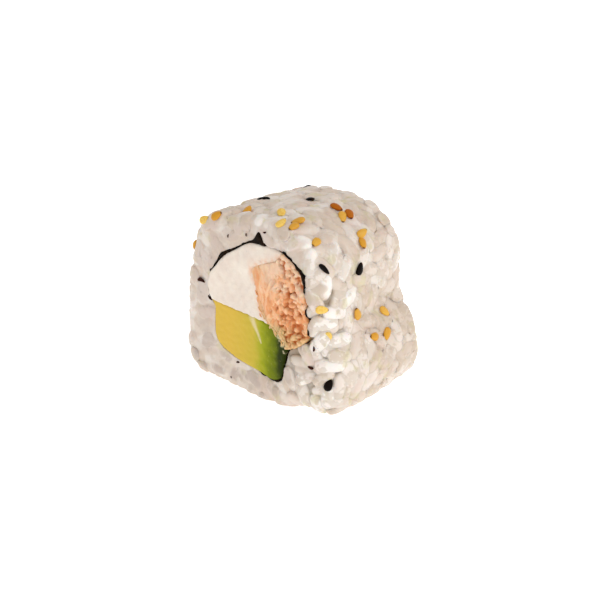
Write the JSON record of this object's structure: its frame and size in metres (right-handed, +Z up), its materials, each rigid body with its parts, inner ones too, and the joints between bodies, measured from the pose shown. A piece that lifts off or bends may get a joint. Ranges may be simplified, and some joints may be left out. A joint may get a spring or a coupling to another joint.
{
  "type": "uramaki roll",
  "caption": "Inside-out sushi roll piece: squarish rice with sesame outside, a seaweed loop inside, filled with white cheese, flaked salmon and avocado, cut flat at both ends.",
  "frame": {"origin": "on the floor below the middle of the piece", "axes": "+Y along the roll's axis, away from the cut that the picture shows, +Z up"},
  "size_m": [0.0486, 0.0316, 0.0438],
  "materials": {
    "rice": "moist cooked rice, satin, with sesame seeds",
    "nori": "damp seaweed sheet, near black",
    "cream_cheese": "soft white cheese, smooth and matt",
    "salmon": "flaked cooked salmon, moist",
    "avocado": "ripe avocado flesh, moist, yellow to green"
  },
  "bodies": {
    "root": {"rice": "rice", "nori": "nori", "cream_cheese": "cream_cheese", "salmon": "salmon", "avocado": "avocado"}
  },
  "joints": []
}
